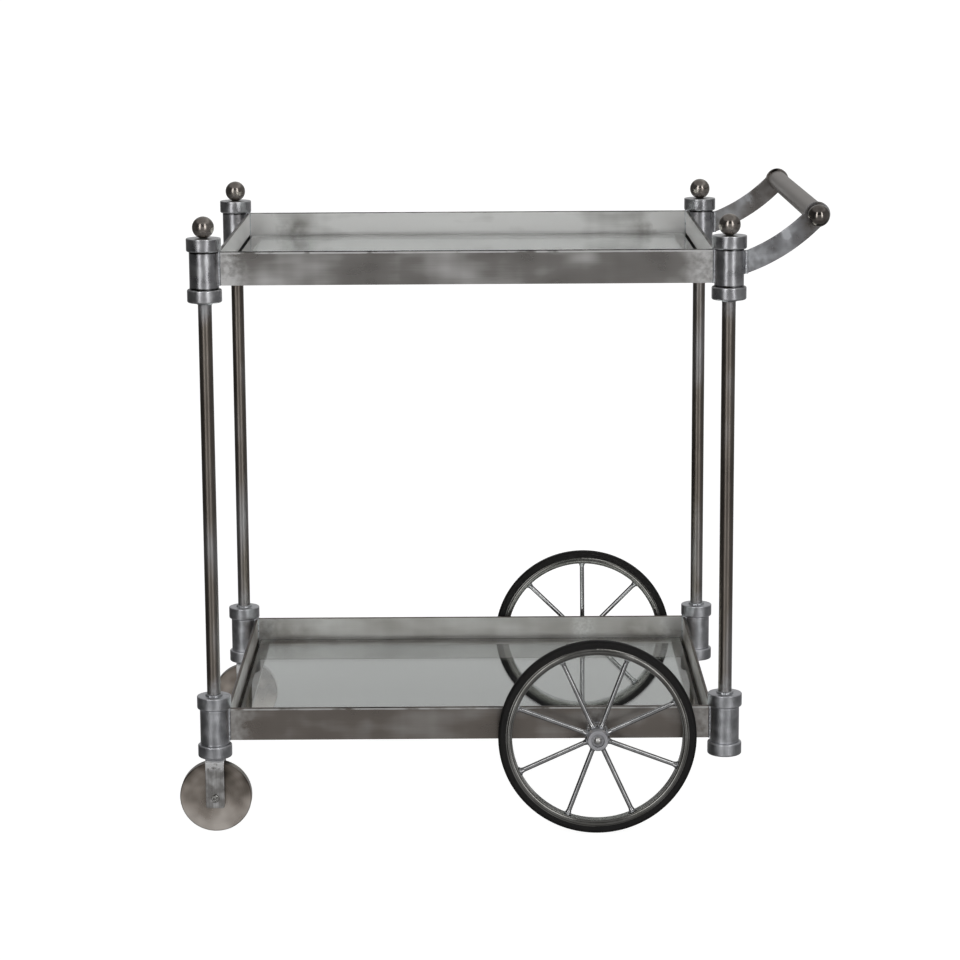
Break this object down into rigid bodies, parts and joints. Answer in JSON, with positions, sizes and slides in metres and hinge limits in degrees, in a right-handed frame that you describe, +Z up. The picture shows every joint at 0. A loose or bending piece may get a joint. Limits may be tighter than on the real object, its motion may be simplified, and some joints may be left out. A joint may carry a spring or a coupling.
{
  "type": "bar cart",
  "caption": "Serving cart with glass shelves in angle-rail trays on round posts, large spoked wheels under the handle end, disc casters under the other and a curved push handle.",
  "frame": {"origin": "on the floor, under the middle of the cart's bounding box", "axes": "+X along the cart towards the push handle, +Y across it from the pictured front to the back, +Z up"},
  "size_m": [0.8572, 0.603, 0.8383],
  "materials": {
    "rail_steel": "mottled satin, hand rubbed, brighter near the welds",
    "post_steel": "polished tube with lengthwise streaks",
    "cast_sleeve": "cast and rubbed to a satin grey",
    "polished_ball": "dark polished, glossy",
    "grip_steel": "warm satin",
    "shelf_glass": "clear, slightly green at the edges",
    "wheel_steel": "satin, welded",
    "tyre_rubber": "matte black",
    "axle_steel": "turned",
    "bright_fastener": "bright",
    "fork_steel": "satin with scratches at the bend",
    "caster_disc_steel": "warm satin, turned"
  },
  "bodies": {
    "frame": {"upper_rail_front": "rail_steel", "upper_rail_back": "rail_steel", "upper_rail_left": "rail_steel", "upper_rail_right": "rail_steel", "upper_glass": "shelf_glass", "upper_sleeve_front_left": "cast_sleeve", "upper_sleeve_front_right": "cast_sleeve", "upper_sleeve_back_left": "cast_sleeve", "upper_sleeve_back_right": "cast_sleeve", "lower_rail_front": "rail_steel", "lower_rail_back": "rail_steel", "lower_rail_left": "rail_steel", "lower_rail_right": "rail_steel", "lower_glass": "shelf_glass", "lower_sleeve_front_left": "cast_sleeve", "lower_sleeve_front_right": "cast_sleeve", "lower_sleeve_back_left": "cast_sleeve", "lower_sleeve_back_right": "cast_sleeve", "post_front_left": "post_steel", "finial_front_left": "polished_ball", "post_front_right": "post_steel", "finial_front_right": "polished_ball", "post_back_left": "post_steel", "finial_back_left": "polished_ball", "post_back_right": "post_steel", "finial_back_right": "polished_ball", "handle_arm_front": "rail_steel", "handle_ball_front": "polished_ball", "handle_arm_back": "rail_steel", "handle_ball_back": "polished_ball", "handle_grip": "grip_steel", "handle_plugs": "grip_steel", "front_stub_axle": "axle_steel", "front_axle_washer": "axle_steel", "front_axle_screw": "bright_fastener", "back_stub_axle": "axle_steel", "back_axle_washer": "axle_steel", "back_axle_screw": "bright_fastener"},
    "front_wheel": {"front_wheel_hub": "wheel_steel", "front_wheel_spokes": "wheel_steel", "front_wheel_rim": "wheel_steel", "front_wheel_tyre": "tyre_rubber"},
    "front_caster": {"front_caster_fork": "fork_steel", "front_caster_stem": "axle_steel", "front_caster_spacers": "axle_steel", "front_caster_screw": "bright_fastener", "front_caster_nut": "bright_fastener"},
    "front_caster_wheel": {"front_caster_disc": "caster_disc_steel"},
    "back_wheel": {"back_wheel_hub": "wheel_steel", "back_wheel_spokes": "wheel_steel", "back_wheel_rim": "wheel_steel", "back_wheel_tyre": "tyre_rubber"},
    "back_caster": {"back_caster_fork": "fork_steel", "back_caster_stem": "axle_steel", "back_caster_spacers": "axle_steel", "back_caster_screw": "bright_fastener", "back_caster_nut": "bright_fastener"},
    "back_caster_wheel": {"back_caster_disc": "caster_disc_steel"}
  },
  "joints": [
    {"name": "front_wheel_spin", "type": "hinge", "parent": "frame", "child": "front_wheel", "pos_m": [0.12875, -0.2795, 0.1318], "axis": [0, 1, 0], "continuous": true},
    {"name": "front_caster_swivel", "type": "hinge", "parent": "frame", "child": "front_caster", "pos_m": [-0.38085, -0.257, 0.1018], "axis": [0, 0, 1], "continuous": true},
    {"name": "front_caster_spin", "type": "hinge", "parent": "front_caster", "child": "front_caster_wheel", "pos_m": [-0.38085, -0.257, 0.0478], "axis": [0, 1, 0], "continuous": true},
    {"name": "back_wheel_spin", "type": "hinge", "parent": "frame", "child": "back_wheel", "pos_m": [0.12875, 0.2795, 0.1318], "axis": [0, 1, 0], "continuous": true},
    {"name": "back_caster_swivel", "type": "hinge", "parent": "frame", "child": "back_caster", "pos_m": [-0.38085, 0.257, 0.1018], "axis": [0, 0, 1], "continuous": true},
    {"name": "back_caster_spin", "type": "hinge", "parent": "back_caster", "child": "back_caster_wheel", "pos_m": [-0.38085, 0.257, 0.0478], "axis": [0, 1, 0], "continuous": true}
  ]
}
